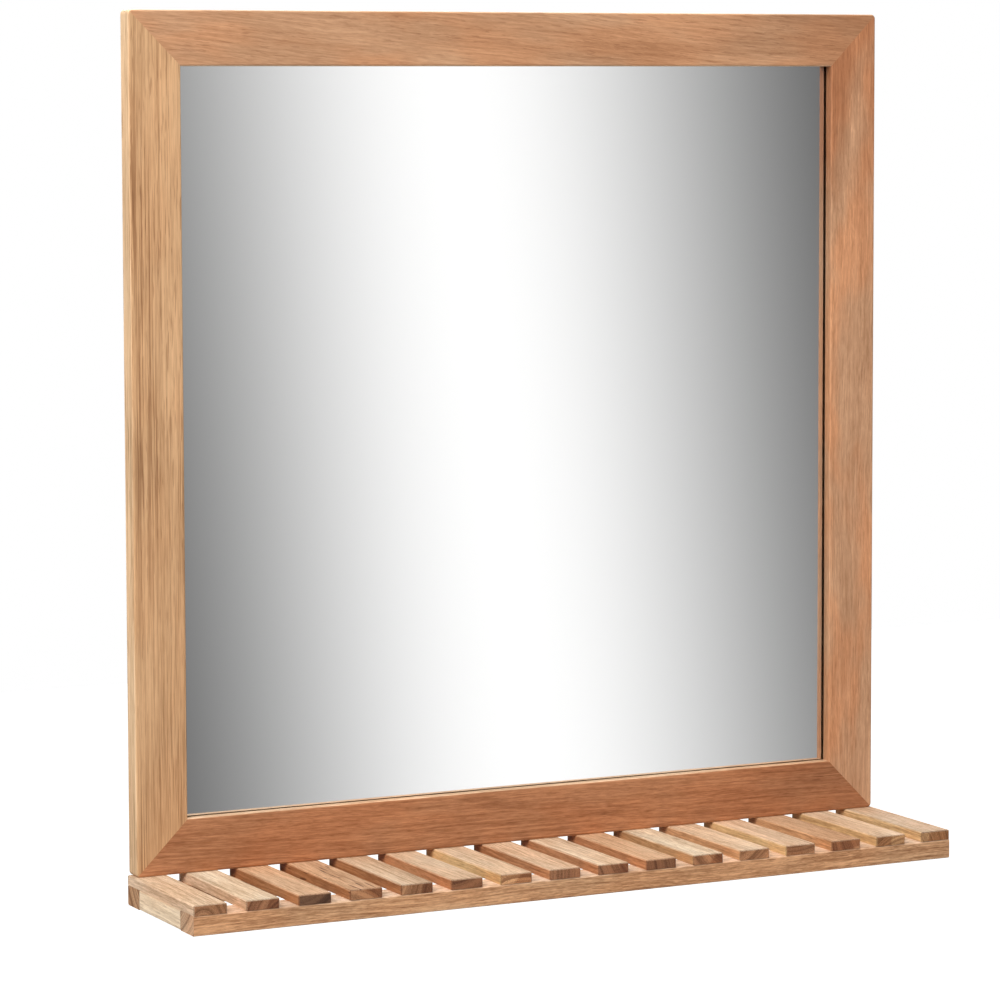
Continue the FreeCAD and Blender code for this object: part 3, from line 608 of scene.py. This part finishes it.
BOARD_PATCH_CELLS = (14.0, 14.0, 14.0)
BOARD_FIBRE_CELLS = (900.0, 900.0, 900.0)
PATCHES_IN_BOARD = 0.18
FIBRES_IN_BOARD = 0.82
BOARD_SWING = (0.35, 0.65)
BOARD_TONES = (tone(108, 73, 48), tone(160, 115, 78))
SCREEN_PITCH = 1.5 * MM
SCREEN_SWING = (-1.2, 1.2)
SCREEN_SHADE = (0.55, 0.48, 0.42, 1.0)
SCREEN_TINT = 0.35
FIBRES_IN_BOARD_RELIEF = 0.5


def make_hardboard():
    """Hardboard: pressed brown fibre, with the print of a wire screen."""
    material = principled("hardboard", Roughness=0.72)
    g = Graph(material.node_tree)
    at = g.add("ShaderNodeTexCoord").outputs["Object"]
    patches = g.noise(at, BOARD_PATCH_CELLS, detail=4.0, roughness=0.7)
    fibres = g.noise(at, BOARD_FIBRE_CELLS, detail=3.0, roughness=0.7)
    pressed = g.weighted((patches, PATCHES_IN_BOARD), (fibres, FIBRES_IN_BOARD))
    color = g.mix(g.remap(pressed, *BOARD_SWING), *BOARD_TONES)
    place = g.separate(at)
    phases = [g.product(place[axis], 2 * math.pi / SCREEN_PITCH) for axis in ("X", "Z")]
    waves = g.total(*(g.math("SINE", phase) for phase in phases))
    screen = g.remap(waves, *SCREEN_SWING)
    color = g.tint(g.remap(screen, 0.0, 1.0, SCREEN_TINT, 0.0), color, SCREEN_SHADE)
    height = g.total(screen, g.product(fibres, FIBRES_IN_BOARD_RELIEF))
    relief = g.bump(strength=0.5, distance=0.15 * MM, height=height)
    link_to_shader(material, Base_Color=color, Normal=relief)
    return material


ZINC_MOTTLE_CELLS = (420.0, 420.0, 420.0)
ZINC_STAIN_CELLS = (90.0, 90.0, 90.0)
ZINC_SCRATCH_CELLS = (5200.0, 5200.0, 160.0)
ZINC_TONES = (tone(188, 190, 192), tone(214, 215, 214))
MOTTLE_SWING = (0.3, 0.7)
MOTTLE_ROUGHNESS = (0.34, 0.42)
STAIN_SWING = (0.50, 0.66)
STAIN_SHADE = (0.92, 0.88, 0.80, 1.0)
STAIN_IN_ROUGHNESS = 0.08
SCRATCH_SWING = (0.50, 0.68)
SCRATCH_IN_ROUGHNESS = 0.1


def make_zinc():
    """Zinc-plated steel: faintly mottled, with fine scratches and some dull spots."""
    material = principled("zinc_plate", Metallic=1.0)
    g = Graph(material.node_tree)
    at = g.add("ShaderNodeTexCoord").outputs["Object"]
    mottle = g.noise(at, ZINC_MOTTLE_CELLS, detail=3.0, roughness=0.6)
    stain = g.noise(at, ZINC_STAIN_CELLS, detail=2.0, roughness=0.5)
    stain = g.remap(stain, *STAIN_SWING)
    scratch = g.noise(at, ZINC_SCRATCH_CELLS, detail=2.0, roughness=0.6)
    scratch = g.remap(scratch, *SCRATCH_SWING)
    color = g.tint(stain, g.mix(mottle, *ZINC_TONES), STAIN_SHADE)
    rough = g.total(
        g.remap(mottle, *MOTTLE_SWING, *MOTTLE_ROUGHNESS),
        g.product(stain, STAIN_IN_ROUGHNESS),
        g.product(scratch, SCRATCH_IN_ROUGHNESS),
    )
    height = g.math("SUBTRACT", 1.0, scratch)
    relief = g.bump(strength=0.2, distance=0.005 * MM, height=height)
    link_to_shader(material, Base_Color=color, Roughness=rough, Normal=relief)
    return material


dress_mirror()
dress("back_board", make_hardboard())
ZINC = make_zinc()
for node in ("glazing_points", "left_hanger", "right_hanger", "slat_brads"):
    dress(node, ZINC)


# Screws with a cross recess

# Vertices closer than WELD are one. A recess starts a little outside its head and narrows to a
# share of its mouth.
WELD = 0.001 * MM
RECESS_OVERRUN = 0.1 * MM
RECESS_TAPER = 0.45


def islands(mesh):
    """The vertices of each separate solid of a mesh, in the mesh's own order."""
    found = []
    seen = set()
    for start in mesh.verts:
        if start in seen:
            continue
        solid, edge = set(), {start}
        while edge:
            solid |= edge
            reached = {other for vert in edge for link in vert.link_edges for other in link.verts}
            edge = reached - solid
        seen |= solid
        found.append(solid)
    return found


def find_heads(mesh, inward):
    """The middle of each screw head's outer face. The screws point along inward."""
    heads = []
    for screw in islands(mesh):
        low, high = (
            Vector(limit(vert.co[axis] for vert in screw) for axis in range(3))
            for limit in (min, max)
        )
        half_length = (high - low).dot(Vector(map(abs, inward))) / 2
        heads.append((low + high) / 2 - half_length * inward)
    return heads


def cross(half_span, half_width):
    """The outline of a cross, arm by arm."""
    corners = ((half_span, -half_width), (half_span, half_width), (half_width, half_width))
    points = []
    for turn in range(4):
        arm = Matrix.Rotation(turn * math.pi / 2, 2)
        points += [arm @ Vector(corner) for corner in corners]
    return points


def make_recess_cutter(heads, inward, half_span, half_width, depth):
    """Tapered crosses that sink into the heads, each from a head's middle along inward."""
    mesh = bmesh.new()
    turn = inward.to_track_quat("Z", "Y").to_matrix()
    outline = cross(half_span, half_width)
    for head in heads:
        outer, inner = (
            [mesh.verts.new(head + turn @ Vector((*(point * scale), level))) for point in outline]
            for level, scale in ((-RECESS_OVERRUN, 1.0), (depth, RECESS_TAPER))
        )
        mesh.faces.new(outer)
        mesh.faces.new(inner[::-1])
        for corner, first in enumerate(outer):
            after = (corner + 1) % len(outer)
            mesh.faces.new((first, inner[corner], inner[after], outer[after]))
    bmesh.ops.recalc_face_normals(mesh, faces=mesh.faces)
    data = bpy.data.meshes.new("recesses")
    mesh.to_mesh(data)
    mesh.free()
    return bpy.data.objects.new("recesses", data)


def make_screws(node, inward, half_span, half_width, depth):
    """The screws of a CAD node, which point along inward, with a cross recess in each head."""
    mesh = bmesh.new()
    mesh.from_mesh(nodes[node].data)
    bmesh.ops.remove_doubles(mesh, verts=mesh.verts, dist=WELD)
    heads = find_heads(mesh, inward)
    data = bpy.data.meshes.new("plain_screws")
    mesh.to_mesh(data)
    mesh.free()
    screws = bpy.data.objects.new(f"{node}_cross", data)
    cutter = make_recess_cutter(heads, inward, half_span, half_width, depth)
    for piece in (screws, cutter):
        bpy.context.scene.collection.objects.link(piece)
    cut = screws.modifiers.new("recess", "BOOLEAN")
    cut.operation = "DIFFERENCE"
    cut.solver = "EXACT"
    cut.object = cutter
    shown = screws.evaluated_get(bpy.context.evaluated_depsgraph_get())
    result = bpy.data.meshes.new_from_object(shown)
    result.name = f"{node}_cross"
    result.materials.clear()
    result.materials.append(ZINC)
    result.shade_flat()
    screws.modifiers.clear()
    screws.data = result
    bpy.data.objects.remove(cutter)
    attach(screws, "root")
    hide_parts(node)


make_screws(
    "hanger_screws", Vector((0, -1, 0)), half_span=1.5 * MM, half_width=0.42 * MM,
    depth=1.3 * MM)
make_screws(
    "shelf_screws", Vector((0, 0, 1)), half_span=2.2 * MM, half_width=0.55 * MM,
    depth=2.0 * MM)


# Camera

# The focal length is a multiple of the sensor's width, and the shift is a share of it.
SENSOR = 36.0
FOCAL_SHARE = 3.9922
CAMERA_PLACE = Vector((-1.2999, -2.5662, 0.0407))
CAMERA_YAW = math.radians(26.70)
CAMERA_PITCH = math.radians(4.87)
CAMERA_ROLL = math.radians(-0.15)
CAMERA_SHIFT = -0.07


def make_camera():
    """The camera at the photograph's place, with its lens shifted down a little."""
    forward = Vector((
        math.sin(CAMERA_YAW) * math.cos(CAMERA_PITCH),
        math.cos(CAMERA_YAW) * math.cos(CAMERA_PITCH),
        -math.sin(CAMERA_PITCH),
    ))
    level = Vector((math.cos(CAMERA_YAW), -math.sin(CAMERA_YAW), 0.0))
    right = math.cos(CAMERA_ROLL) * level + math.sin(CAMERA_ROLL) * level.cross(forward)
    up = right.cross(forward)
    turn = Matrix((right, up, -forward)).transposed().to_4x4()
    data = bpy.data.cameras.new("camera")
    data.sensor_width = SENSOR
    data.lens = SENSOR * FOCAL_SHARE
    data.shift_y = CAMERA_SHIFT
    camera = bpy.data.objects.new("camera", data)
    camera.matrix_world = Matrix.Translation(CAMERA_PLACE) @ turn
    bpy.context.scene.collection.objects.link(camera)
    bpy.context.scene.camera = camera


make_camera()


# Studio

# Soft bright strips stand all round the studio. The mirror shows one of them, where the
# camera looks by way of it, a little off that way and leaning. The strips glow more from
# below and less from behind, and STRIP_FLOOR is the glow between them.
STRIP_STEP = math.radians(15.0)
STRIP_SPREAD = math.radians(3.85)
STRIP_PLACE = CAMERA_YAW - math.radians(0.63)
STRIP_LEAN = 0.112
STRIP_FLOOR = 0.12
STRIP_FLOOR_BLUR = 0.05
STRIP_GLOW = 1.06
UNDER_RISES = (-0.60, -0.35)
UNDER_SHARE = 1.5
REAR_WAYS = (0.0, 0.4)
REAR_SHARE = 0.4


def make_world():
    """The studio's strips. Straight behind the object the camera sees plain white."""
    world = bpy.data.worlds.new("studio")
    world.use_nodes = True
    world.node_tree.nodes.clear()
    g = Graph(world.node_tree)
    way = g.separate(g.add("ShaderNodeTexCoord").outputs["Generated"])
    azimuth = g.math("ARCTAN2", way["X"], g.product(way["Y"], -1.0))
    rise = g.math("ARCSINE", way["Z"])
    off = g.total(azimuth, g.product(rise, STRIP_LEAN), -STRIP_PLACE)
    turns = g.math("FRACT", g.math("ADD", g.math("DIVIDE", off, STRIP_STEP), 0.5))
    off = g.product(g.centred(turns), STRIP_STEP / STRIP_SPREAD)
    bell = g.math("EXPONENT", g.product(off, off, -1.0))
    bell = g.math("SMOOTH_MAX", bell, STRIP_FLOOR, STRIP_FLOOR_BLUR)
    bell = g.product(bell, g.remap(rise, *UNDER_RISES, UNDER_SHARE, 1.0))
    bell = g.product(bell, g.remap(way["Y"], *REAR_WAYS, 1.0, REAR_SHARE))
    glow = {"Color": g.combine(bell, bell, bell), "Strength": STRIP_GLOW}
    strips = g.add("ShaderNodeBackground", glow).outputs[0]
    white = g.add("ShaderNodeBackground", {"Color": WHITE, "Strength": 1.0}).outputs[0]
    direct = g.add("ShaderNodeLightPath").outputs["Is Camera Ray"]
    mixed = g.add("ShaderNodeMixShader", {0: direct, 1: strips, 2: white})
    g.add("ShaderNodeOutputWorld", {"Surface": mixed.outputs[0]})
    bpy.context.scene.world = world


FLOOR_DROP = 2.4
FLOOR_HALF = 16.0


def make_floor():
    """A white floor far below the object, bright enough to meet the white behind it. Only the
    camera sees it, so the mirror and the wood keep the studio's light."""
    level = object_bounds()[0].z - FLOOR_DROP
    corners = [
        (x * FLOOR_HALF, y * FLOOR_HALF, level)
        for x, y in ((-1, -1), (1, -1), (1, 1), (-1, 1))
    ]
    mesh = bpy.data.meshes.new("floor")
    mesh.from_pydata(corners, [], [(0, 1, 2, 3)])
    mesh.materials.append(principled(
        "floor_paint", Base_Color=(0.9, 0.9, 0.9, 1.0), Roughness=0.8, Emission_Color=WHITE,
        Emission_Strength=0.8))
    floor = bpy.data.objects.new("floor", mesh)
    floor.visible_glossy = False
    floor.visible_transmission = False
    floor.visible_diffuse = False
    bpy.context.scene.collection.objects.link(floor)


class Lamp(NamedTuple):
    """A soft light: where it stands, what it looks at, its width and height, and its watts."""
    name: str
    place: tuple
    target: tuple
    size: tuple
    power: float


LAMPS = (
    Lamp("key", (-2.4, -1.5, 1.6), (0, 0, -0.2), (1.8, 1.8), 100),
    Lamp("top", (0.2, -0.6, 2.2), (0, -0.05, -0.5), (2.2, 1.6), 32),
    Lamp("rear", (0.6, 2.2, 1.2), (0, 0, -0.2), (1.6, 1.6), 36),
)


def make_light(lamp):
    data = bpy.data.lights.new(lamp.name, "AREA")
    data.shape = "RECTANGLE"
    data.size, data.size_y = lamp.size
    data.energy = lamp.power
    light = bpy.data.objects.new(lamp.name, data)
    sight = Vector(lamp.target) - Vector(lamp.place)
    light.location = lamp.place
    light.rotation_euler = sight.to_track_quat("-Z", "Y").to_euler()
    light.visible_camera = False
    bpy.context.scene.collection.objects.link(light)


make_world()
make_floor()
for lamp in LAMPS:
    make_light(lamp)

view = bpy.context.scene.view_settings
view.view_transform = "Standard"
view.look = "None"
